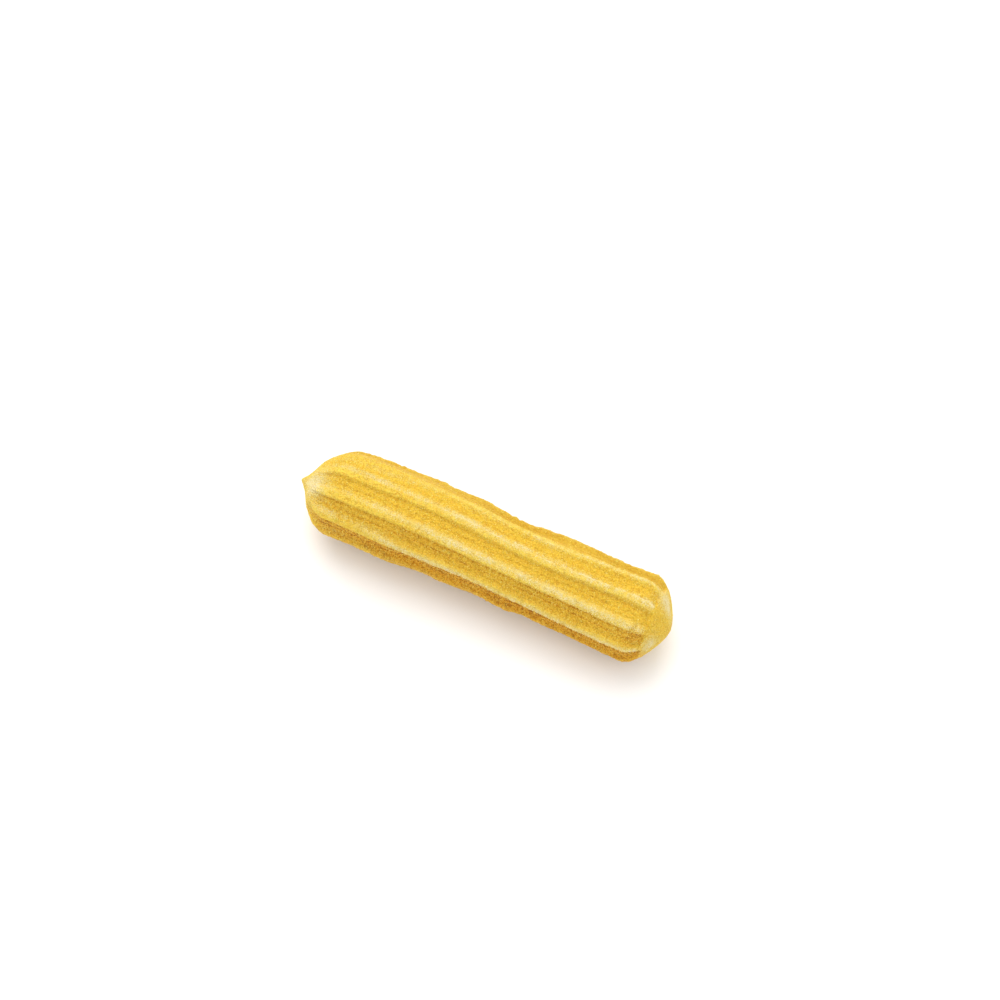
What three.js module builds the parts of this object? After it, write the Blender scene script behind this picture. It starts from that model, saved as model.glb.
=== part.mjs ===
// A churro: one plump bar of piped dough, lying on its side.
// Rounded ridges run along it, a small nub ends the pointed side, and a smooth cap ends the other.
// Millimetres and degrees. +X runs from the nub to the cap, -Y is the front, +Z is up.
// The origin is under the middle of the bar, on the surface that it rests on.
// Angles around the bar start straight up and grow towards the front.
import * as THREE from 'three';
import { mergeVertices } from 'three/addons/utils/BufferGeometryUtils.js';

// Bar
const barLength = 100;
const crestRadius = 11.42;
const restHeight = 10.95; // middle line above the surface, so that the lowest crests are pressed flat
const waist = { place: 8.8, pitch: 69, depth: 0.41 };

// Ridges left by the star-shaped nozzle, which turn a little along the middle of the bar.
// A turn of phase is one ridge: a slope up to a broad crest, a steep lip below it, and the groove's floor.
// The lips face down on both sides of the bar, and the ridges along its top and underside are even.
const ridges = { count: 11, relief: 1.15, firstCrest: 3.3 };
const slope = { from: -108, to: -36 };
const lip = { from: 36, to: 72 };
const evenRidges = { at: -5, share: 0.35 };
const turn = { from: -16, to: 24, angle: 8 };
const wander = { angle: 0.8, pitch: 44, lobes: 3 };
const unevenRelief = { share: 0.14, pitch: 37, lobes: 2 };

// Stretch where the ridges are smeared: distance from the nub's tip, angle, reaches both ways, share
const smear = { place: 15, angle: -42, reach: 28, arc: 28, share: 0.8 };

// Pointed end, distances from the nub's tip: the pinch narrows it into the nub
const point = { length: 11.7, roundness: 0.2, drift: 1.2, driftReach: 13 };
const pinch = { share: 0.42, from: 0.5, to: 4.6 };
const ridgesRise = { from: 3.4, to: 9.4 };

// Capped end, distances back from the cap's middle
const cap = { length: 8.5, roundness: 0.47 };
const ridgesStop = { from: 5.4, to: 4.2 };

// Blunt edges that run to the middle of both ends, where the dough was closed, and flats between them
const edges = { count: 8, firstEdge: 1, flatShare: 0.04 };

// Swellings and hollows of the soft dough: place on X, angle, reach on X, height
const swellArc = 35;
const swells = [
  { place: -46.5, angle: 108, reach: 2.5, height: -0.8 },
  { place: -39.5, angle: 108, reach: 4, height: 0.4 },
  { place: -23, angle: 108, reach: 3.5, height: 0.3 },
  { place: -14, angle: 108, reach: 5.5, height: -0.55 },
  { place: 2, angle: 108, reach: 4, height: -0.25 },
  { place: 10, angle: 108, reach: 3.5, height: 0.35 },
  { place: 15, angle: 108, reach: 3, height: -0.25 },
  { place: 28, angle: 108, reach: 8, height: -0.3 },
  { place: 48, angle: 108, reach: 2.5, height: -0.7 },
  { place: -40, angle: -68, reach: 5, height: -0.5 },
  { place: -16, angle: -68, reach: 4.5, height: 0.35 },
  { place: -5, angle: -68, reach: 5, height: 0.6 },
  { place: 7, angle: -68, reach: 4, height: -0.35 },
  { place: 19, angle: -68, reach: 7, height: 0.4 },
  { place: 36, angle: -68, reach: 7, height: -0.6 },
];

// Facets
const stepsPerRidge = 10;
const nubLength = 3;
const nubSteps = 6;
const pointSteps = 8;
const bodySteps = 26;
const capSteps = 9;

const { degToRad, smoothstep } = THREE.MathUtils;

// The shortest angle from a fixed direction, which is given in degrees.
function angleFrom(around, direction) {
  const aside = around - degToRad(direction);
  return Math.atan2(Math.sin(aside), Math.cos(aside));
}

// Bell curve: 1 in its middle, fading both ways by its reach.
function bell(value, reach) {
  return Math.exp(-((value / reach) ** 2));
}

// Even places from one distance to another, without the last.
function evenPlaces(from, to, steps) {
  return Array.from({ length: steps }, (_, step) => from + ((to - from) * step) / steps);
}

// Places that crowd together towards the last, where the cap turns in steeply.
function crowdingPlaces(from, to, steps) {
  return Array.from({ length: steps + 1 }, (_, step) => {
    return from + (to - from) * Math.sin((Math.PI / 2) * (step / steps));
  });
}

// Rise of an end from 0 at its tip to 1: part quarter sine, and part quarter circle by its roundness.
function dome(distance, length, roundness) {
  const t = THREE.MathUtils.clamp(distance / length, 0, 1);
  const sine = Math.sin((Math.PI / 2) * t);
  const circle = Math.sqrt(1 - (1 - t) ** 2);
  return (1 - roundness) * sine + roundness * circle;
}

// Radius over the crests before any end is shaped: a shallow waist right of the middle.
function bodyRadius(x) {
  return crestRadius - waist.depth * Math.cos((2 * Math.PI * (x - waist.place)) / waist.pitch);
}

// How far the bar has reached its full thickness: 0 at both tips and 1 between the ends.
function fullnessAt(fromTip) {
  const pinched = 1 - pinch.share * (1 - smoothstep(fromTip, pinch.from, pinch.to));
  const pointed = pinched * dome(fromTip, point.length, point.roundness);
  const capped = dome(barLength - fromTip, cap.length, cap.roundness);
  return pointed * capped;
}

// Share of the radius that the flats between the edges take off the ends: a half sine for each flat.
function flatShare(fullness, around) {
  const acrossFlat = (edges.count / 2) * (around - degToRad(edges.firstEdge));
  return edges.flatShare * (1 - fullness ** 2) * Math.abs(Math.sin(acrossFlat));
}

// Where a column of the ridges stands round the bar: its own angle, turned, and wandering as a sine.
function columnAngle(x, column) {
  const turned = ridges.firstCrest - turn.angle * (1 - smoothstep(x, turn.from, turn.to));
  const wave = Math.sin((2 * Math.PI * x) / wander.pitch + wander.lobes * column);
  return column + degToRad(turned + wander.angle * wave);
}

// One ridge across its phase: 1 on the crest and 0 along the groove's floor.
function ridgeProfile(phase) {
  return smoothstep(phase, slope.from, slope.to) * (1 - smoothstep(phase, lip.from, lip.to));
}

// Height of the ridges at a column: the back's are the mirror image of the front's.
function ridgeHeight(column) {
  const phase = THREE.MathUtils.radToDeg(angleFrom(ridges.count * column, 0));
  const towardsFront = Math.sin(column - degToRad(evenRidges.at));
  const frontShare = smoothstep(towardsFront, -evenRidges.share, evenRidges.share);
  return frontShare * ridgeProfile(phase) + (1 - frontShare) * ridgeProfile(-phase);
}

// Depth of the grooves: none on the point and the cap, uneven between them, and shallow where smeared.
function grooveDepth(fromTip, around) {
  const rise = smoothstep(fromTip, ridgesRise.from, ridgesRise.to);
  const stop = smoothstep(barLength - fromTip, ridgesStop.to, ridgesStop.from);
  const wave = Math.sin((2 * Math.PI * fromTip) / unevenRelief.pitch + unevenRelief.lobes * around);
  const smearedAlong = bell(fromTip - smear.place, smear.reach);
  const smearedAround = bell(angleFrom(around, smear.angle), degToRad(smear.arc));
  const kept = 1 - smear.share * smearedAlong * smearedAround;
  return ridges.relief * rise * stop * kept * (1 + unevenRelief.share * wave);
}

// Sum of the swellings and hollows, each fading as a bell curve both ways.
function swelling(x, around) {
  let height = 0;
  for (const swell of swells) {
    const along = bell(x - swell.place, swell.reach);
    const across = bell(angleFrom(around, swell.angle), degToRad(swellArc));
    height += swell.height * along * across;
  }
  return height;
}

// A point of the surface, with what would sink below the resting surface pressed flat on it.
function surfacePoint(fromTip, column) {
  const x = fromTip - barLength / 2;
  const around = columnAngle(x, column);
  const fullness = fullnessAt(fromTip);
  const closed = bodyRadius(x) * fullness * (1 - flatShare(fullness, around));
  const lowered = grooveDepth(fromTip, around) * (1 - ridgeHeight(column));
  const radius = closed - lowered + fullness * swelling(x, around);
  const drift = point.drift * (1 - smoothstep(fromTip, 0, point.driftReach));
  const y = -drift - radius * Math.sin(around);
  const z = restHeight + radius * Math.cos(around);
  return new THREE.Vector3(x, y, Math.max(z, 0));
}

// The bar is a turned shape first, and each of its points is then moved onto the ridged surface.
function makeChurroGeometry() {
  const places = [
    ...evenPlaces(0, nubLength, nubSteps),
    ...evenPlaces(nubLength, point.length, pointSteps),
    ...evenPlaces(point.length, barLength - cap.length, bodySteps),
    ...crowdingPlaces(barLength - cap.length, barLength, capSteps),
  ];
  const profile = places.map((fromTip) => {
    return new THREE.Vector2(crestRadius * fullnessAt(fromTip), fromTip);
  });
  const turned = new THREE.LatheGeometry(profile, ridges.count * stepsPerRidge);
  turned.deleteAttribute('normal');
  turned.deleteAttribute('uv');
  const geometry = mergeVertices(turned);
  const position = geometry.attributes.position;
  for (let index = 0; index < position.count; index += 1) {
    const column = Math.atan2(position.getX(index), position.getZ(index));
    const moved = surfacePoint(position.getY(index), column);
    position.setXYZ(index, moved.x, moved.y, moved.z);
  }
  geometry.computeBoundingBox();
  const middle = geometry.boundingBox.getCenter(new THREE.Vector3());
  geometry.translate(-middle.x, -middle.y, 0);
  geometry.computeVertexNormals();
  return geometry;
}

const dough = new THREE.MeshStandardMaterial({ color: 0xe8bc48, roughness: 0.75, metalness: 0 });
const churro = new THREE.Mesh(makeChurroGeometry(), dough);
churro.name = 'churro';

const part = new THREE.Group();
part.add(churro);

export default part;
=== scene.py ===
"""A churro on a white table: the ridged bar of dough, and the flour and frost that lie on it.

Shapes are worked out in millimetres and turned into metres as they become meshes. Along the bar, places are
distances from the tip of the nub, and x starts at the bar's middle. Round the bar, angles start straight up
and grow towards the front, -Y. Columns are the ridges' own angles, before the ridges turn along the bar.
"""

import bpy
import numpy as np
from mathutils import Matrix, Vector


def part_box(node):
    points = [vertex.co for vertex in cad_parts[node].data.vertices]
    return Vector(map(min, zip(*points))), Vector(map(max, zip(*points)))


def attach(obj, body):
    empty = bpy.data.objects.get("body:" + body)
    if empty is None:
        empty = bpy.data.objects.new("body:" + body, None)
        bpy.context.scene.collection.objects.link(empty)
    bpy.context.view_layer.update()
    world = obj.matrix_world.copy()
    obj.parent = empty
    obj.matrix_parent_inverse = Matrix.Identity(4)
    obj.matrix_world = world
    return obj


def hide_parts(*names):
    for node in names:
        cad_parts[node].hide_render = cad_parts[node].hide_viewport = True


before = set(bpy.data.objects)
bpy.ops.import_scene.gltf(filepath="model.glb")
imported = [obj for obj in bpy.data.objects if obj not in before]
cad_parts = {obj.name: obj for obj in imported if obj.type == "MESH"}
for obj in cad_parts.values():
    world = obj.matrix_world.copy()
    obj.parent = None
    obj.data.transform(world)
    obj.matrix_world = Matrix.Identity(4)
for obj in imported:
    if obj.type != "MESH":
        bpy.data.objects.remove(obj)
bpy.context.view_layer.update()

MM = 0.001
NODE = "churro"
BODY = "root"

node_low, node_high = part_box(NODE)

# Bar
BAR_LENGTH = (node_high.x - node_low.x) / MM
CREST_RADIUS = 11.42
REST_HEIGHT = 10.95
WAIST_PLACE, WAIST_PITCH, WAIST_DEPTH = 8.8, 69.0, 0.41

# Ridges left by the star-shaped nozzle, which turn a little along the middle of the bar.
# A turn of phase is one ridge: a slope up to a broad crest, a steep lip below it, and the groove's floor.
# The lips face down on both sides of the bar, and the ridges along its top and underside are even.
RIDGES = 11
RELIEF = 1.15
SLOPE = (-108.0, -36.0)
LIP = (36.0, 72.0)
EVEN_AT, EVEN_SHARE = -5.0, 0.35
FIRST_CREST = 3.3
TURN, TURN_ANGLE = (-16.0, 24.0), 8.0
WANDER_ANGLE, WANDER_PITCH, WANDER_LOBES = 0.8, 44.0, 3
UNEVEN_SHARE, UNEVEN_PITCH, UNEVEN_LOBES = 0.14, 37.0, 2
SMEAR_PLACE, SMEAR_ANGLE, SMEAR_REACH, SMEAR_ARC, SMEAR_SHARE = 15.0, -42.0, 28.0, 28.0, 0.8

# Pointed end
POINT_LENGTH, POINT_ROUNDNESS = 11.7, 0.2
POINT_DRIFT, DRIFT_REACH = 1.2, 13.0
PINCH_SHARE, PINCH = 0.42, (0.5, 4.6)
RIDGES_RISE = (3.4, 9.4)

# Capped end, distances from the cap's middle
CAP_LENGTH, CAP_ROUNDNESS = 8.5, 0.47
RIDGES_STOP = (4.2, 5.4)
EDGES, FIRST_EDGE, FLAT_SHARE = 8, 1.0, 0.04

# Swellings and hollows of the soft dough: x, angle, reach, height
SWELL_ARC = 35.0
SWELLS = (
    (-46.5, 108, 2.5, -0.8),
    (-39.5, 108, 4.0, 0.4),
    (-23, 108, 3.5, 0.3),
    (-14, 108, 5.5, -0.55),
    (2, 108, 4.0, -0.25),
    (10, 108, 3.5, 0.35),
    (15, 108, 3.0, -0.25),
    (28, 108, 8.0, -0.3),
    (48, 108, 2.5, -0.7),
    (-40, -68, 5.0, -0.5),
    (-16, -68, 4.5, 0.35),
    (-5, -68, 5.0, 0.6),
    (7, -68, 4.0, -0.35),
    (19, -68, 7.0, 0.4),
    (36, -68, 7.0, -0.6),
)

# Fine relief of the dough: height, reach along and reach round the bar
LUMPS = (0.04, 7.0, 4.0)
CREASES = (0.02, 1.6, 0.8)
GRAIN = (0.038, 0.42, 0.38)
CRACKS = (0.045, 0.34, 1.0)
STREAKS = (0.04, 26.0, 0.5)
CREST_WOBBLE = (0.14, 3.5, 9.0)
CREASES_EVERYWHERE, CREASES_MORE_ON_CRESTS = 0.4, 0.9
GRAIN_EVERYWHERE, GRAIN_MORE_ON_CRESTS = 0.6, 0.6
SEAM_PHASE, SEAM_REACH, SEAM_DEPTH = 180.0, 18.0, 0.2

# Unevenness of the flour: strength, and reaches along and round the bar
PATCHES = (1.0, 9.0, 4.0)
DABS = (1.0, 1.3, 0.6)

# Steps of the dough's grid, how closely its rows crowd at both ends, and rows of the noise
STEPS_PER_RIDGE = 22
ROWS = 405
ROW_CROWDING = 0.35
NOISE_ROWS = 512

# Flour along the crests: its right and far right parts, and the stretch where it grows on the lowest crest
# that shows, each from one x to another
RIGHT_PART, FAR_RIGHT_PART, LOWEST_GROWS = (-34.0, -12.0), (17.0, 27.0), (10.0, 30.0)
# Columns of the highest crest and of the next, as middles and reaches, and where the lowest one starts
HIGHEST_CREST, SECOND_CREST, LOWEST_CREST = (-5.0, 16.0), (33.0, 12.0), (44.0, 60.0)
# How far behind the ridges' own change of sides the flour changes sides
MIRROR_SHIFT = 12.0
# How far up a ridge it lies from the middle of its crest and how far it reaches, in degrees of phase
UP_LEFT, UP_RIGHT, UP_FAR_RIGHT = 88.0, 48.0, 26.0
UP_MORE_HIGHEST, UP_LESS_BEHIND, UP_LOWEST = 42.0, 30.0, -4.0
REACH_LEFT, REACH_RIGHT = 40.0, 52.0
REACH_MORE_HIGHEST, REACH_LESS_LOWEST, REACH_BEHIND = 18.0, 10.0, 0.75
# How thick it lies, what the crests and the far side add, take off or keep, and how much is uneven
THICK_LEFT, THICK_RIGHT, THICK_LEAST = 0.46, 0.64, 0.05
MORE_HIGHEST, LESS_SECOND_LEFT, SHARE_BEHIND = 0.95, 0.42, 0.8
MORE_LOWEST, LOWEST_MORE_RIGHT = 0.12, 1.2
UNEVEN = (("patches", 0.15), ("dabs", 0.1), ("hatch", 0.12))
# Middle of the upper side, how far from it the flour fades, and how far from the cap's middle it stops
UPPER_MIDDLE, UPPER_FADE = 20.0, (46.0, 74.0)
FLOUR_STOPS = (4.4, 5.8)

# Frost on the ends: place, reach along, angle, reach round, strength
END_PATCHES = (
    (4.8, 3.4, 23.0, 27.0, 1.0),
    (BAR_LENGTH - 3.0, 2.4, -31.0, 17.0, 0.95),
    (BAR_LENGTH - 3.0, 1.2, 67.0, 20.0, 0.9),
)

# Painted shadow below each lip, in degrees of phase: a step down to the groove's floor, and a narrow dark
# line on it
LINE_STARTS, LINE_FADES, LINE_MIDDLE, LINE_REACH, LINE_SHARE = (36.0, 60.0), (70.0, 165.0), 72.0, 22.0, 0.6

# Painted shade in the grooves, by what is deep and by the side of the bar: their floors, the painted shadow
# below the lips, the seams, and a dark spot where a groove ends at the cap
FLOOR_DEEP, LINE_DEEP, SEAM_DEEP = 0.35, 0.8, 0.8
DEEP_EVERYWHERE, DEEP_IN_FRONT, DEEP_AT_SIDES, DEEP_LESS_BELOW = 0.16, 0.26, 0.5, 0.4
FRONT_FROM, SIDES_FROM, BELOW_FROM = (25.0, 42.0), (35.0, 85.0), (90.0, 125.0)
DEEP_SPOT_FROM_CAP, DEEP_SPOT_REACH, DEEP_SPOT_ANGLE, DEEP_SPOT_ARC, DEEP_SPOT = 6.6, 2.6, 48.0, 15.0, 0.35

# Far side, a little darker as painted shade: angles where it starts and ends, and distances from both tips
FAR_STARTS, FAR_ENDS = (28.0, 58.0), (95.0, 165.0)
FAR_FROM_NUB, FAR_FROM_CAP = (1.0, 8.0), (2.0, 7.5)

# Painted shade on the flank below the lowest lip that shows: columns where it starts and ends, and distances
# from both tips
FLANK_STARTS, FLANK_ENDS = (69.0, 74.0), (100.0, 165.0)
FLANK_FROM_NUB, FLANK_FROM_CAP = (6.0, 12.0), (2.2, 6.2)
FLANK_AT_NUB, FLANK_GROWS = 0.6, (20.0, 42.0)

# Painted shade in the pits of the relief: strength, and the share of the cracks on the crests
PITS_STRENGTH, PITS_FROM_CRACKS = 0.3, 0.8

# Loose grains: count, least and greatest radius, seed
FINE_GRAINS = (24500, (0.08, 0.2), 21)
COARSE_GRAINS = (1200, (0.15, 0.26), 22)
# Power of a random share that gives the radius
RADIUS_POWER = 2.2
# Least stretch and what a random share adds to it, for a grain's own axes and for each of its corners
GRAIN_STRETCH, CORNER_STRETCH = (0.65, 0.7), (0.8, 0.4)
# Share of its height that is pressed out, and share of its radius that its middle stands off the dough
GRAIN_FLATTENED, GRAIN_RAISED = 0.45, 0.1
# Clearance above the table, and the normal and the height below which the bar's underside has no grains
GRAIN_CLEARANCE, UNDERSIDE_NORMAL, UNDERSIDE_HEIGHT = 0.02, -0.6, 1.5
GRAIN_SHADE_LEAST = 0.5
# Dust is the weight of grains beside the flour: everywhere, more on top, and times more for coarse ones
DUST_EVERYWHERE, DUST_ON_TOP, DUST_MIDDLE, DUST_FADE, COARSE_DUST = 0.015, 0.07, 20.0, (50.0, 85.0), 1.5

# Mottling: scale for each metre, detail, and the values of the noise that become 0 and 1
CLOUDS = (170.0, 2.0, 0.35, 0.68)
SPOTS = (1300.0, 1.0, 0.47, 0.66)
SPECKLE = (1700.0, 1.0, 0.43, 0.60)
FLECKS = (2700.0, 1.0, 0.49, 0.38)
# Noise of the painted shade in the pits
PIT_PAINTED_SHADE_NOISE = (2700.0, 1.0, 0.50, 0.60)
BUMPS = (2200.0, 2.0, 0.3, 0.7)
STAIN = (300.0, 1.0, 0.45, 0.75)
TABLE_SHADE = (4.0, 1.0, 0.3, 0.7)

# Colours
DOUGH_YELLOW = (0.83, 0.54, 0.044, 1.0)
# Pale dough: painted light on the crests, and the stain of the grains
DOUGH_PALE_AND_PAINTED_LIGHT = (0.88, 0.63, 0.080, 1.0)
# Deep dough colour: painted shade in the grooves and on the near flank, and the dough's own deeper spots
DOUGH_DEEP_AND_PAINTED_SHADE = (0.71, 0.32, 0.012, 1.0)
# Painted shade that darkens the far side
FAR_SIDE_PAINTED_SHADE = (0.83, 0.79, 0.72, 1.0)
# Painted shade in the pits
PIT_PAINTED_SHADE = (0.54, 0.40, 0.24, 1.0)
FLECK_YELLOW = (0.93, 0.70, 0.12, 1.0)
GRAIN_GOLD = (0.87, 0.66, 0.10, 1.0)
FROST_CREAM = (0.87, 0.68, 0.22, 1.0)
FROST_WHITE = (0.91, 0.77, 0.42, 1.0)
TABLE_LOW = (0.92, 0.92, 0.92, 1.0)
TABLE_HIGH = (0.94, 0.94, 0.94, 1.0)
WHITE = (1.0, 1.0, 1.0, 1.0)

# Shares of the finish: how much each mask adds to a colour
# Share of the clouds in the painted light on the crests
PALE_EVERYWHERE = 0.3
# Painted shade by the groove and flank masks, and the dough's own deeper tone by the spots
PAINTED_SHADE_BY_GROOVE, PAINTED_SHADE_BY_FLANK, DEEP_BY_SPOTS = 1.1, 0.55, 0.3
DUST_EVEN, DUST_SPECKLED = 0.55, 0.7
FLECKS_EVERYWHERE, FLECKS_IN_GROOVES = 0.2, 0.3
# Painted shade in the pits: everywhere, more in the grooves and on the flank, less on the far side
PITS_EVERYWHERE, PITS_IN_GROOVES, PITS_ON_FLANK, PITS_BEHIND = 0.27, 0.6, 0.2, -0.15
GRAIN_STAIN = 0.35
DOUGH_ROUGHNESS, GRAIN_ROUGHNESS, TABLE_ROUGHNESS = (0.52, 0.85), (0.35, 0.7), 0.9
BUMP_HEIGHT = 0.32
FOOD_SPECULAR, TABLE_SPECULAR = 0.15, 0.1
# Light scattered below the surface: weight, radius by colour, scale in millimetres
DOUGH_GLOW = (0.15, (1.0, 0.55, 0.12), 0.8)
GRAIN_GLOW = (0.3, (1.0, 0.8, 0.45), 0.3)

# Sockets of a mix node that mixes colours: its share, the two colours, and the result
MIX_SHARE, MIX_FIRST, MIX_SECOND, MIX_RESULT = 0, 6, 7, 2

# Picture: metres for each pixel, the bar's middle in pixels, the view in degrees and the lens in millimetres
PICTURE_PIXELS = 1000
PIXEL = 0.2475 * MM
MIDDLE_PIXEL = (484.5, 552.0)
AZIMUTH, ELEVATION = 24.6, 66.5
LENS, SENSOR = 100.0, 36.0

# Light in metres and watts, and the table's half width and its drop below the bar in millimetres
ROOM_STRENGTH = 1.06
KEY_TOWARD, KEY_DISTANCE, KEY_SIZE, KEY_POWER = (-0.46, 0.68, 1.25), 1.0, 1.0, 6.7
KEY_COLOUR = (1.0, 0.99, 0.97)
TABLE_HALF, TABLE_DROP = 1500.0, 0.05


def smooth(value, low, high):
    """Smooth step: 0 up to low, 1 from high, and t t (3 - 2 t) between them."""
    t = np.clip((value - low) / (high - low), 0.0, 1.0)
    return t * t * (3.0 - 2.0 * t)


def bell(value, reach):
    """Bell curve: e to the minus square of value over reach."""
    return np.exp(-((value / reach) ** 2))


def angle_from(around, degrees):
    """The shortest angle from a fixed direction, in radians."""
    aside = around - np.radians(degrees)
    return np.arctan2(np.sin(aside), np.cos(aside))


def dome(distance, length, roundness):
    """Rise of an end from 0 to 1: part quarter sine, and part quarter circle by its roundness."""
    t = np.clip(distance / length, 0.0, 1.0)
    sine = np.sin(0.5 * np.pi * t)
    circle = np.sqrt(1.0 - (1.0 - t) ** 2)
    return (1.0 - roundness) * sine + roundness * circle


def body_radius(x):
    """Radius over the crests before the ends are shaped: a cosine waist right of the middle."""
    return CREST_RADIUS - WAIST_DEPTH * np.cos(2.0 * np.pi * (x - WAIST_PLACE) / WAIST_PITCH)


def fullness_at(place):
    """Share of the full thickness: the pinched dome of the point times the dome of the cap."""
    pinched = 1.0 - PINCH_SHARE * (1.0 - smooth(place, *PINCH))
    pointed = pinched * dome(place, POINT_LENGTH, POINT_ROUNDNESS)
    return pointed * dome(BAR_LENGTH - place, CAP_LENGTH, CAP_ROUNDNESS)


def ridge_angle(x, column):
    """Where a column of the ridges stands round the bar: its own angle, turned, and wandering as a sine."""
    turned = FIRST_CREST - TURN_ANGLE * (1.0 - smooth(x, *TURN))
    wave = WANDER_ANGLE * np.sin(2.0 * np.pi * x / WANDER_PITCH + WANDER_LOBES * column)
    return column + np.radians(turned + wave)


def ridge_phase(column, centre):
    """Degrees of a ridge's own round from a centre, from -180 to 180: 0 is the crest, 360 the next one."""
    return np.degrees(angle_from(RIDGES * column, centre))


def front_share(column):
    """1 on the front of the bar, 0 on its back, and a smooth step of a sine between them."""
    return smooth(np.sin(column - np.radians(EVEN_AT)), -EVEN_SHARE, EVEN_SHARE)


def mixed_by_side(column, front, back):
    """The front's values on the front of the bar and the back's on its back, mixed between them."""
    share = front_share(column)
    return share * front + (1.0 - share) * back


def ridge_height(column):
    """1 on a crest and 0 along a groove: a smooth step up the slope times a smooth step down the lip.

    The back's ridges are the mirror image of the front's, and the two are mixed between them.
    """
    phase = ridge_phase(column, 0.0)
    front, back = (smooth(side, *SLOPE) * (1.0 - smooth(side, *LIP)) for side in (phase, -phase))
    return mixed_by_side(column, front, back)


def lip_painted_shadow(column):
    """Painted shadow below a lip, a dark line: a narrow bell curve, and a smooth step that fades along the
    groove's floor.
    """
    phase = ridge_phase(column, 0.0)
    front, back = (
        LINE_SHARE * smooth(side, *LINE_STARTS) * (1.0 - smooth(side, *LINE_FADES))
        + LINE_SHARE * bell(side - LINE_MIDDLE, LINE_REACH)
        for side in (phase, -phase)
    )
    return mixed_by_side(column, front, back)


def groove_depth(place, around):
    """Depth of the grooves: smooth steps at both ends, times an uneven wave, less a bell where smeared."""
    rise = smooth(place, *RIDGES_RISE)
    stop = smooth(BAR_LENGTH - place, *RIDGES_STOP)
    wave = np.sin(2.0 * np.pi * place / UNEVEN_PITCH + UNEVEN_LOBES * around)
    smear_round = bell(angle_from(around, SMEAR_ANGLE), np.radians(SMEAR_ARC))
    smear = bell(place - SMEAR_PLACE, SMEAR_REACH) * smear_round
    return RELIEF * rise * stop * (1.0 + UNEVEN_SHARE * wave) * (1.0 - SMEAR_SHARE * smear)


def swelling(x, around):
    """Sum of the swellings and hollows, each a bell curve along and round the bar."""
    total = 0.0
    for place, angle, reach, height in SWELLS:
        total = total + height * bell(x - place, reach) * bell(
            angle_from(around, angle), np.radians(SWELL_ARC)
        )
    return total


def soft_noise(seed, place, columns, along_reach, around_reach):
    """Random heights with mean 0 and spread 1, blurred by bell curves of the two reaches.

    White noise on an even grid is multiplied by the blur's own bell curve among its frequencies, so that it
    closes on itself round the bar, and is then read between the rows of the grid at each place.
    """
    white = np.random.default_rng(seed).standard_normal((NOISE_ROWS, columns))
    along_waves = np.fft.fftfreq(NOISE_ROWS, BAR_LENGTH / NOISE_ROWS)[:, None]
    around_waves = np.fft.rfftfreq(columns, 2.0 * np.pi * CREST_RADIUS / columns)[None, :]
    blur = np.exp(-((np.pi * along_reach * along_waves) ** 2) - (np.pi * around_reach * around_waves) ** 2)
    field = np.fft.irfft2(np.fft.rfft2(white) * blur, s=white.shape)
    field = (field - field.mean()) / field.std()
    row = place[:, 0] / BAR_LENGTH * (NOISE_ROWS - 1)
    below = np.minimum(row.astype(int), NOISE_ROWS - 2)
    share = (row - below)[:, None]
    return field[below] * (1.0 - share) + field[below + 1] * share


def dough_surface():
    """The bar's surface on a grid of rows along it and columns round it.

    Rows lie closer together at both ends: each place is the length times an even share less a sine of it.
    Round each row, the radius is that of the closed bar, less the grooves, plus the swellings and the fine
    relief, and what would sink below the table is pressed flat on it. Returns the points in millimetres and
    the masks that the finish follows.
    """
    even = np.linspace(0.0, 1.0, ROWS)[:, None]
    place = BAR_LENGTH * (even - ROW_CROWDING * np.sin(2.0 * np.pi * even) / (2.0 * np.pi))
    columns = RIDGES * STEPS_PER_RIDGE
    column = np.linspace(0.0, 2.0 * np.pi, columns, endpoint=False)[None, :]
    x = place - 0.5 * BAR_LENGTH

    def noise(seed, kind):
        """Soft noise of a kind: its height times the noise with its two reaches."""
        height, along_reach, around_reach = kind
        return height * soft_noise(seed, place, columns, along_reach, around_reach)

    around = ridge_angle(x, column) + np.radians(noise(1, CREST_WOBBLE))
    fullness = fullness_at(place)
    ridge = ridge_height(column)
    depth = groove_depth(place, around)
    seam = bell(ridge_phase(column, SEAM_PHASE), SEAM_REACH) * depth / RELIEF
    across_flat = 0.5 * EDGES * (around - np.radians(FIRST_EDGE))
    flats = FLAT_SHARE * (1.0 - fullness**2) * np.abs(np.sin(across_flat))
    grain, cracks = noise(4, GRAIN), noise(7, CRACKS)
    fine = noise(2, LUMPS) + noise(3, CREASES) * (CREASES_EVERYWHERE + CREASES_MORE_ON_CRESTS * ridge)
    fine = fine + grain * (GRAIN_EVERYWHERE + GRAIN_MORE_ON_CRESTS * ridge)
    fine = fine + cracks * ridge * depth / RELIEF
    fine = fine + noise(5, STREAKS) * depth / RELIEF - SEAM_DEPTH * seam
    radius = body_radius(x) * fullness * (1.0 - flats) - depth * (1.0 - ridge)
    radius = radius + fullness * (swelling(x, around) + fine)
    drift = POINT_DRIFT * (1.0 - smooth(place, 0.0, DRIFT_REACH))
    across = -drift - radius * np.sin(around)
    height = np.maximum(REST_HEIGHT + radius * np.cos(around), 0.0)
    across = across - 0.5 * (across.min() + across.max())
    points = np.stack(np.broadcast_arrays(x, across, height), axis=-1)
    grain_share, crack_share = grain / GRAIN[0], cracks / CRACKS[0]
    masks = {
        "place": np.broadcast_to(place, height.shape),
        "around": around,
        "column": np.broadcast_to(column, height.shape),
        "ridge": np.broadcast_to(ridge, height.shape),
        "depth": depth / RELIEF,
        "seam": seam,
        "lip_painted_shadow": lip_painted_shadow(column) * depth / RELIEF,
        "patches": noise(6, PATCHES),
        "dabs": noise(8, DABS),
        "hatch": crack_share,
        # Painted shade in the pits: darker where the grain and the cracks of the relief sink
        "pits": np.clip(-PITS_STRENGTH * (grain_share + PITS_FROM_CRACKS * ridge * crack_share), 0.0, 1.0),
    }
    return points, masks


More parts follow.
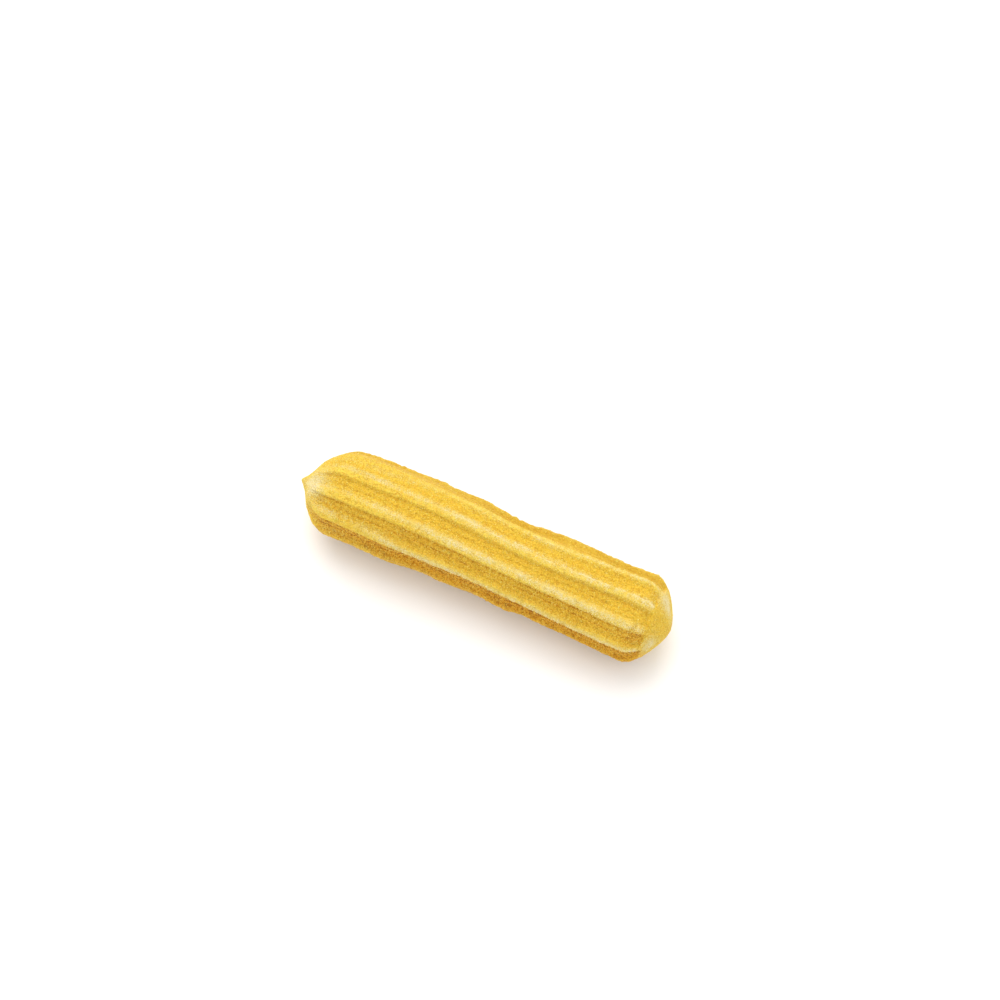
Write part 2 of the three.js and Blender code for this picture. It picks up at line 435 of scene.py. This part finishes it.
def crest_flour(masks):
    """Flour along the crests, from 0 to 1: on each ridge a bell curve of its phase, up from the lip.

    Its place, its reach and its thickness change from left to right along the bar and from ridge to ridge.
    The back's stripes are the mirror image of the front's. The lower flanks have none.
    """
    x = masks["place"] - 0.5 * BAR_LENGTH
    column = np.degrees(masks["column"])
    column = np.where(column > 180.0, column - 360.0, column)
    right = smooth(x, *RIGHT_PART)
    far_right = smooth(x, *FAR_RIGHT_PART)
    highest = bell(column - HIGHEST_CREST[0], HIGHEST_CREST[1])
    second = bell(column - SECOND_CREST[0], SECOND_CREST[1])
    lowest = smooth(column, *LOWEST_CREST) * right
    up = UP_LEFT + (UP_RIGHT - UP_LEFT) * right + (UP_FAR_RIGHT - UP_RIGHT) * far_right
    up = (up + UP_MORE_HIGHEST * highest) * (1.0 - lowest) + UP_LOWEST * lowest
    reach = REACH_LEFT + (REACH_RIGHT - REACH_LEFT) * right
    reach = reach - REACH_LESS_LOWEST * lowest + REACH_MORE_HIGHEST * highest
    phase = ridge_phase(masks["column"], 0.0)
    front = bell(phase + up, reach)
    back = SHARE_BEHIND * bell(up - UP_LESS_BEHIND * right - phase, REACH_BEHIND * reach)
    crest = mixed_by_side(masks["column"] + np.radians(MIRROR_SHIFT), front, back)
    crest = crest * (1.0 + MORE_HIGHEST * highest - LESS_SECOND_LEFT * (1.0 - right) * second)
    thick = THICK_LEFT + (THICK_RIGHT - THICK_LEFT) * right
    thick = thick + MORE_LOWEST * lowest * (1.0 + LOWEST_MORE_RIGHT * smooth(x, *LOWEST_GROWS))
    for name, strength in UNEVEN:
        thick = thick + strength * masks[name]
    crest = crest * np.clip(thick, THICK_LEAST, 1.0) * np.clip(masks["depth"], 0.0, 1.0)
    crest = crest * smooth(BAR_LENGTH - masks["place"], *FLOUR_STOPS)
    from_upper = np.abs(np.degrees(angle_from(masks["around"], UPPER_MIDDLE)))
    return crest * (1.0 - smooth(from_upper, *UPPER_FADE))


def frost_on_ends(masks):
    """Frost on the ends, from 0 to 1: the greatest of some patches, each a bell curve both ways."""
    return np.maximum.reduce(
        [
            strength
            * bell(masks["place"] - place, along)
            * bell(angle_from(masks["around"], angle), np.radians(arc))
            for place, along, angle, arc, strength in END_PATCHES
        ]
    )


def groove_painted_shade(masks, turn):
    """Painted shade in the grooves: shares of their floors, of the painted shadow below the lips and of the
    seams.

    It grows by smooth steps towards the front and the sides and shrinks below them, and a bell curve adds a
    painted shadow where a groove ends at the cap.
    """
    aside = np.abs(turn)
    deep = FLOOR_DEEP * (1.0 - masks["ridge"]) * masks["depth"]
    deep = deep + LINE_DEEP * masks["lip_painted_shadow"] + SEAM_DEEP * masks["seam"]
    by_side = DEEP_EVERYWHERE + DEEP_IN_FRONT * smooth(turn, *FRONT_FROM)
    by_side = by_side + DEEP_AT_SIDES * smooth(aside, *SIDES_FROM)
    below = 1.0 - DEEP_LESS_BELOW * smooth(aside, *BELOW_FROM)
    from_cap = BAR_LENGTH - masks["place"]
    spot = bell(from_cap - DEEP_SPOT_FROM_CAP, DEEP_SPOT_REACH) * bell(turn - DEEP_SPOT_ANGLE, DEEP_SPOT_ARC)
    return deep * by_side * below + DEEP_SPOT * spot


def far_side_painted_shade(masks, turn):
    """Painted shade on the far side: smooth steps that start and end it round the bar and before
    both tips.
    """
    side = smooth(-turn, *FAR_STARTS) * (1.0 - smooth(-turn, *FAR_ENDS))
    return side * smooth(masks["place"], *FAR_FROM_NUB) * smooth(BAR_LENGTH - masks["place"], *FAR_FROM_CAP)


def near_flank_painted_shade(masks):
    """Painted shade on the flank below the lowest lip that shows: smooth steps of the column and before
    both tips.
    """
    column, place = np.degrees(masks["column"]), masks["place"]
    flank = smooth(column, *FLANK_STARTS) * (1.0 - smooth(column, *FLANK_ENDS))
    flank = flank * smooth(place, *FLANK_FROM_NUB) * smooth(BAR_LENGTH - place, *FLANK_FROM_CAP)
    return flank * (FLANK_AT_NUB + (1.0 - FLANK_AT_NUB) * smooth(place, *FLANK_GROWS))


def closed_grid_faces(rows, columns):
    """Faces of a grid that closes round and whose first and last rows are single points.

    Quads join each row to the next, and fans of triangles join the end rows to the end points.
    """
    row = np.arange(rows - 3)[:, None] * columns + 1
    column = np.arange(columns)[None, :]
    following = (column + 1) % columns
    quads = np.stack(
        [row + column, row + following, row + columns + following, row + columns + column], axis=-1
    ).reshape(-1, 4)
    last_ring = (rows - 3) * columns + 1
    far_point = last_ring + columns
    near_fan = np.stack([np.zeros_like(column), following + 1, column + 1], axis=-1).reshape(-1, 3)
    far_fan = np.stack(
        [np.full_like(column, far_point), last_ring + column, last_ring + following], axis=-1
    ).reshape(-1, 3)
    return quads.tolist() + near_fan.tolist() + far_fan.tolist()


def without_repeated_ends(grid):
    """The grid's values in a row, with one value for each end row."""
    flat = grid.reshape(grid.shape[0], grid.shape[1], -1)
    return np.concatenate([flat[0, :1], flat[1:-1].reshape(-1, flat.shape[2]), flat[-1, :1]])


def make_object(name, points, faces, materials, values):
    """A smooth mesh object at the origin, from points in millimetres, with named values on its points."""
    mesh = bpy.data.meshes.new(name)
    mesh.from_pydata((points * MM).tolist(), [], faces)
    mesh.polygons.foreach_set("use_smooth", np.ones(len(mesh.polygons), bool))
    for key, value in values.items():
        attribute = mesh.attributes.new(key, "FLOAT", "POINT")
        attribute.data.foreach_set("value", np.asarray(value, np.float32).ravel())
    for material in materials:
        mesh.materials.append(material)
    mesh.update()
    piece = bpy.data.objects.new(name, mesh)
    bpy.context.scene.collection.objects.link(piece)
    return piece


def scatter(points, weight, count, rng):
    """Random places on a grid surface, as likely as the weight times the area of each cell.

    Each place is a random mix of its cell's four corners, and its normal is the cross product of the cell's
    diagonals. Returns the places, the normals and the weights there.
    """
    a, b = points[:-1], points[1:]
    corner = (a, np.roll(a, -1, axis=1), np.roll(b, -1, axis=1), b)
    normal = np.cross(corner[2] - corner[0], corner[3] - corner[1])
    area = np.linalg.norm(normal, axis=-1)
    chance = (area * weight[:-1]).ravel()
    cell = rng.choice(chance.size, count, p=chance / chance.sum())
    u, v = rng.random((2, count, 1))
    picked = [c.reshape(-1, 3)[cell] for c in corner]
    place = (1 - u) * ((1 - v) * picked[0] + v * picked[1]) + u * ((1 - v) * picked[3] + v * picked[2])
    normal = normal.reshape(-1, 3)[cell] / area.reshape(-1, 1)[cell]
    return place, normal, weight[:-1].ravel()[cell]


def random_turns(count, rng):
    """Random rotations, each from a random unit quaternion."""
    q = rng.standard_normal((count, 4))
    w, x, y, z = (q / np.linalg.norm(q, axis=1, keepdims=True)).T
    return np.stack(
        [
            np.stack([1 - 2 * (y * y + z * z), 2 * (x * y - z * w), 2 * (x * z + y * w)], -1),
            np.stack([2 * (x * y + z * w), 1 - 2 * (x * x + z * z), 2 * (y * z - x * w)], -1),
            np.stack([2 * (x * z - y * w), 2 * (y * z + x * w), 1 - 2 * (x * x + y * y)], -1),
        ],
        axis=-2,
    )


OCTAHEDRON = (
    np.array([[1, 0, 0], [-1, 0, 0], [0, 1, 0], [0, -1, 0], [0, 0, 1], [0, 0, -1]], float),
    np.array([[0, 2, 4], [2, 1, 4], [1, 3, 4], [3, 0, 4], [2, 0, 5], [1, 2, 5], [3, 1, 5], [0, 3, 5]]),
)


def make_grains(name, points, weight, kind, material):
    """Loose grains on the dough: octahedra, each turned and stretched at random, flattened and half sunk in.

    A power of a random share makes most of them small. Grains that would lie under the bar are left out. A
    grain's shade is a random share of the weight where it lies.
    """
    count, (least, greatest), seed = kind
    rng = np.random.default_rng(seed)
    place, normal, thickness = scatter(points, weight, count, rng)
    corners, sides = OCTAHEDRON
    radius = least + (greatest - least) * rng.random((count, 1)) ** RADIUS_POWER
    stretch = radius[:, None, :] * (GRAIN_STRETCH[0] + GRAIN_STRETCH[1] * rng.random((count, 1, 3)))
    uneven = CORNER_STRETCH[0] + CORNER_STRETCH[1] * rng.random((count, len(corners), 1))
    shapes = np.einsum("nij,nkj->nki", random_turns(count, rng), corners[None] * stretch * uneven)
    rise = np.einsum("nki,ni->nk", shapes, normal)[:, :, None] * normal[:, None, :]
    shapes = shapes - GRAIN_FLATTENED * rise
    place = place + normal * radius * GRAIN_RAISED
    shapes = shapes + place[:, None, :]
    clear = shapes[:, :, 2].min(axis=1) > GRAIN_CLEARANCE
    kept = clear & ((normal[:, 2] > UNDERSIDE_NORMAL) | (place[:, 2] > UNDERSIDE_HEIGHT))
    shade = np.repeat((thickness * (GRAIN_SHADE_LEAST + rng.random(count)))[kept], len(corners))
    shapes = shapes[kept]
    faces = (np.arange(len(shapes))[:, None, None] * len(corners) + sides[None]).reshape(-1, 3)
    return make_object(name, shapes.reshape(-1, 3), faces.tolist(), [material], {"shade": shade})


def new_material(name):
    """An empty node material: the material, its node tree and its Principled shader."""
    material = bpy.data.materials.new(name)
    material.use_nodes = True
    tree = material.node_tree
    shader = next(node for node in tree.nodes if node.type == "BSDF_PRINCIPLED")
    return material, tree, shader


def add_node(tree, kind, settings=None, inputs=None):
    """A node of a kind, with its settings, and its inputs either set or linked."""
    node = tree.nodes.new(kind)
    for key, value in (settings or {}).items():
        setattr(node, key, value)
    for key, value in (inputs or {}).items():
        if isinstance(value, bpy.types.NodeSocket):
            tree.links.new(value, node.inputs[key])
        else:
            node.inputs[key].default_value = value
    return node


def mottle_group():
    """Mottling as a mask: noise on Object coordinates, with its low and high ends spread from 0 to 1."""
    group = bpy.data.node_groups.new("mottle", "ShaderNodeTree")
    for name, default in (("Scale", 100.0), ("Detail", 2.0), ("Low", 0.4), ("High", 0.6)):
        socket = group.interface.new_socket(name, in_out="INPUT", socket_type="NodeSocketFloat")
        socket.default_value = default
    group.interface.new_socket("Mask", in_out="OUTPUT", socket_type="NodeSocketFloat")
    inside = add_node(group, "NodeGroupInput")
    place = add_node(group, "ShaderNodeTexCoord")
    noise = add_node(
        group,
        "ShaderNodeTexNoise",
        inputs={
            "Vector": place.outputs["Object"],
            "Scale": inside.outputs["Scale"],
            "Detail": inside.outputs["Detail"],
        },
    )
    spread = add_node(
        group,
        "ShaderNodeMapRange",
        inputs={
            "Value": noise.outputs["Fac"],
            "From Min": inside.outputs["Low"],
            "From Max": inside.outputs["High"],
        },
    )
    outside = add_node(group, "NodeGroupOutput")
    group.links.new(spread.outputs["Result"], outside.inputs["Mask"])
    return group


def mottle(tree, group, kind):
    """One use of the mottling, with its own scale for each metre, its detail and its own ends."""
    inputs = dict(zip(("Scale", "Detail", "Low", "High"), kind))
    return add_node(tree, "ShaderNodeGroup", {"node_tree": group}, inputs).outputs["Mask"]


def attribute_value(tree, name):
    """A value that the mesh carries on its points."""
    return add_node(tree, "ShaderNodeAttribute", {"attribute_name": name}).outputs["Fac"]


def math_node(tree, operation, first, second, clamp=False):
    """A math node with two inputs."""
    settings = {"operation": operation, "use_clamp": clamp}
    return add_node(tree, "ShaderNodeMath", settings, {0: first, 1: second}).outputs["Value"]


def times(tree, first, second, clamp=False):
    """The product of two values."""
    return math_node(tree, "MULTIPLY", first, second, clamp)


def plus_share(tree, total, share, value, clamp=False):
    """A total plus a share of a value."""
    return math_node(tree, "ADD", total, times(tree, value, share), clamp)


def mix_colour(tree, share, first, second, blend="MIX"):
    """A colour that goes by a share from the first to the second, or to its product with the second."""
    settings = {"data_type": "RGBA", "blend_type": blend}
    inputs = {MIX_SHARE: share, MIX_FIRST: first, MIX_SECOND: second}
    return add_node(tree, "ShaderNodeMix", settings, inputs).outputs[MIX_RESULT]


def set_roughness(tree, shader, share, ends):
    """Roughness that goes from one end to the other by a share."""
    inputs = {"Value": share, "To Min": ends[0], "To Max": ends[1]}
    rough = add_node(tree, "ShaderNodeMapRange", inputs=inputs)
    tree.links.new(rough.outputs["Result"], shader.inputs["Roughness"])


def set_glow(shader, weight, radius, scale):
    """Light scattered below the surface, with its scale in millimetres."""
    shader.inputs["Subsurface Weight"].default_value = weight
    shader.inputs["Subsurface Radius"].default_value = radius
    shader.inputs["Subsurface Scale"].default_value = scale * MM


def make_dough_material(group):
    """Yellow dough: mottled, dusted with cream along the crests, and fine-grained.

    Its colour also holds painted light on the crests, and painted shade in the grooves, on the near flank,
    on the far side and in the pits.
    """
    material, tree, shader = new_material("yellow_dough")
    ridge, groove, flank, back, frost, end_frost, relief_pit_painted_shade = (
        attribute_value(tree, name)
        for name in ("ridge", "groove", "flank", "back", "frost", "end_frost", "pits")
    )
    # Painted light: the crests paler, by the ridge mask times the clouds
    clouds = math_node(tree, "ADD", mottle(tree, group, CLOUDS), PALE_EVERYWHERE)
    colour = mix_colour(tree, times(tree, ridge, clouds, clamp=True), DOUGH_YELLOW, DOUGH_PALE_AND_PAINTED_LIGHT)
    # Painted shade in the grooves and on the near flank, with the dough's own deeper spots
    painted_shade_and_deep_spots = times(tree, groove, PAINTED_SHADE_BY_GROOVE)
    painted_shade_and_deep_spots = plus_share(tree, painted_shade_and_deep_spots, PAINTED_SHADE_BY_FLANK, flank)
    painted_shade_and_deep_spots = plus_share(tree, painted_shade_and_deep_spots, DEEP_BY_SPOTS, mottle(tree, group, SPOTS), clamp=True)
    colour = mix_colour(tree, painted_shade_and_deep_spots, colour, DOUGH_DEEP_AND_PAINTED_SHADE)
    speckle = plus_share(tree, DUST_EVEN, DUST_SPECKLED, mottle(tree, group, SPECKLE))
    dusting = times(tree, frost, speckle, clamp=True)
    frost_colour = mix_colour(tree, times(tree, dusting, end_frost), FROST_CREAM, FROST_WHITE)
    colour = mix_colour(tree, dusting, colour, frost_colour)
    fleck_share = plus_share(tree, FLECKS_EVERYWHERE, FLECKS_IN_GROOVES, groove)
    colour = mix_colour(tree, times(tree, mottle(tree, group, FLECKS), fleck_share), colour, FLECK_YELLOW)
    # Painted shade: the far side a little darker
    colour = mix_colour(tree, back, colour, FAR_SIDE_PAINTED_SHADE, "MULTIPLY")
    # Painted shade in the pits, more in the grooves and on the near flank, less on the far side
    pits = math_node(tree, "ADD", mottle(tree, group, PIT_PAINTED_SHADE_NOISE), relief_pit_painted_shade)
    pit_painted_shade_share = plus_share(tree, PITS_EVERYWHERE, PITS_IN_GROOVES, groove)
    pit_painted_shade_share = plus_share(tree, pit_painted_shade_share, PITS_ON_FLANK, flank)
    pit_painted_shade_share = plus_share(tree, pit_painted_shade_share, PITS_BEHIND, back, clamp=True)
    colour = mix_colour(tree, times(tree, pits, pit_painted_shade_share), colour, PIT_PAINTED_SHADE, "MULTIPLY")
    tree.links.new(colour, shader.inputs["Base Color"])
    set_roughness(tree, shader, dusting, DOUGH_ROUGHNESS)
    height = mottle(tree, group, BUMPS)
    bump = add_node(
        tree, "ShaderNodeBump", inputs={"Height": height, "Strength": 1.0, "Distance": BUMP_HEIGHT * MM}
    )
    tree.links.new(bump.outputs["Normal"], shader.inputs["Normal"])
    shader.inputs["Specular IOR Level"].default_value = FOOD_SPECULAR
    set_glow(shader, *DOUGH_GLOW)
    return material


def make_frost_material(group):
    """Flour and frost grains: gold to near white from grain to grain, and a little translucent."""
    material, tree, shader = new_material("frost_grain")
    shade = attribute_value(tree, "shade")
    colour = mix_colour(tree, shade, GRAIN_GOLD, FROST_WHITE)
    colour = mix_colour(tree, times(tree, mottle(tree, group, STAIN), GRAIN_STAIN), colour, DOUGH_PALE_AND_PAINTED_LIGHT)
    tree.links.new(colour, shader.inputs["Base Color"])
    set_roughness(tree, shader, shade, GRAIN_ROUGHNESS)
    shader.inputs["Specular IOR Level"].default_value = FOOD_SPECULAR
    set_glow(shader, *GRAIN_GLOW)
    return material


def make_camera():
    """A camera that looks along the picture's own view, with the bar's middle on its pixel there."""
    azimuth, elevation = np.radians(AZIMUTH), np.radians(ELEVATION)
    level = np.cos(elevation)
    back = Vector((np.sin(azimuth) * level, -np.cos(azimuth) * level, np.sin(elevation)))
    right = Vector((np.cos(azimuth), np.sin(azimuth), 0.0))
    up = back.cross(right)
    middle = (node_low + node_high) / 2
    half = PICTURE_PIXELS / 2
    aim = middle - right * (MIDDLE_PIXEL[0] - half) * PIXEL + up * (MIDDLE_PIXEL[1] - half) * PIXEL
    distance = PIXEL * PICTURE_PIXELS * LENS / SENSOR
    data = bpy.data.cameras.new("camera")
    data.lens = LENS
    data.sensor_width = SENSOR
    camera = bpy.data.objects.new("camera", data)
    bpy.context.scene.collection.objects.link(camera)
    facing = Matrix((right, up, back)).transposed().to_4x4()
    camera.matrix_world = Matrix.Translation(aim + back * distance) @ facing
    bpy.context.scene.camera = camera


def make_light():
    """A pale room all round, and one large square soft light behind the bar, turned to face it."""
    world = bpy.data.worlds.new("pale_room")
    world.use_nodes = True
    background = next(node for node in world.node_tree.nodes if node.type == "BACKGROUND")
    background.inputs["Color"].default_value = WHITE
    background.inputs["Strength"].default_value = ROOM_STRENGTH
    bpy.context.scene.world = world
    data = bpy.data.lights.new("soft_key", "AREA")
    data.size = KEY_SIZE
    data.energy = KEY_POWER
    data.color = KEY_COLOUR
    light = bpy.data.objects.new("soft_key", data)
    bpy.context.scene.collection.objects.link(light)
    direction = Vector(KEY_TOWARD).normalized()
    light.location = direction * KEY_DISTANCE
    light.rotation_mode = "QUATERNION"
    light.rotation_quaternion = direction.to_track_quat("Z", "Y")
    bpy.context.scene.view_settings.view_transform = "Standard"


def make_floor(group):
    """A plain white table top just under the bar."""
    signs = ((-1, -1), (1, -1), (1, 1), (-1, 1))
    corners = np.array([[TABLE_HALF * x, TABLE_HALF * y, -TABLE_DROP] for x, y in signs])
    material, tree, shader = new_material("white_table")
    colour = mix_colour(tree, mottle(tree, group, TABLE_SHADE), TABLE_LOW, TABLE_HIGH)
    tree.links.new(colour, shader.inputs["Base Color"])
    shader.inputs["Roughness"].default_value = TABLE_ROUGHNESS
    shader.inputs["Specular IOR Level"].default_value = TABLE_SPECULAR
    floor = make_object("table_top", corners, [[0, 1, 2, 3]], [material], {})


make_camera()
make_light()
mottling = mottle_group()
make_floor(mottling)

surface, masks = dough_surface()
turn = np.degrees(angle_from(masks["around"], 0.0))
end_frost = frost_on_ends(masks)
frost = np.clip(np.maximum(crest_flour(masks), end_frost), 0.0, 1.0)
finish = {
    "frost": frost,
    # Painted light on the crests
    "ridge": masks["ridge"] * masks["depth"],
    "end_frost": end_frost,
    # Painted shade in the pits
    "pits": masks["pits"],
    # Painted shade on the far side
    "back": far_side_painted_shade(masks, turn),
    # Painted shade on the near flank below the lowest lip that shows
    "flank": near_flank_painted_shade(masks),
    # Painted shade in the grooves, below the lips and in the seams
    "groove": groove_painted_shade(masks, turn),
}
bar = make_object(
    "dough_bar",
    without_repeated_ends(surface),
    closed_grid_faces(*surface.shape[:2]),
    [make_dough_material(mottling)],
    {name: without_repeated_ends(values) for name, values in finish.items()},
)
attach(bar, BODY)
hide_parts(NODE)

frost_material = make_frost_material(mottling)
dust = DUST_EVERYWHERE + DUST_ON_TOP * (1.0 - smooth(np.abs(turn - DUST_MIDDLE), *DUST_FADE))
fine = make_grains("fine_grains", surface, frost + dust, FINE_GRAINS, frost_material)
coarse = make_grains("coarse_grains", surface, frost + COARSE_DUST * dust, COARSE_GRAINS, frost_material)
for piece in (fine, coarse):
    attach(piece, BODY)
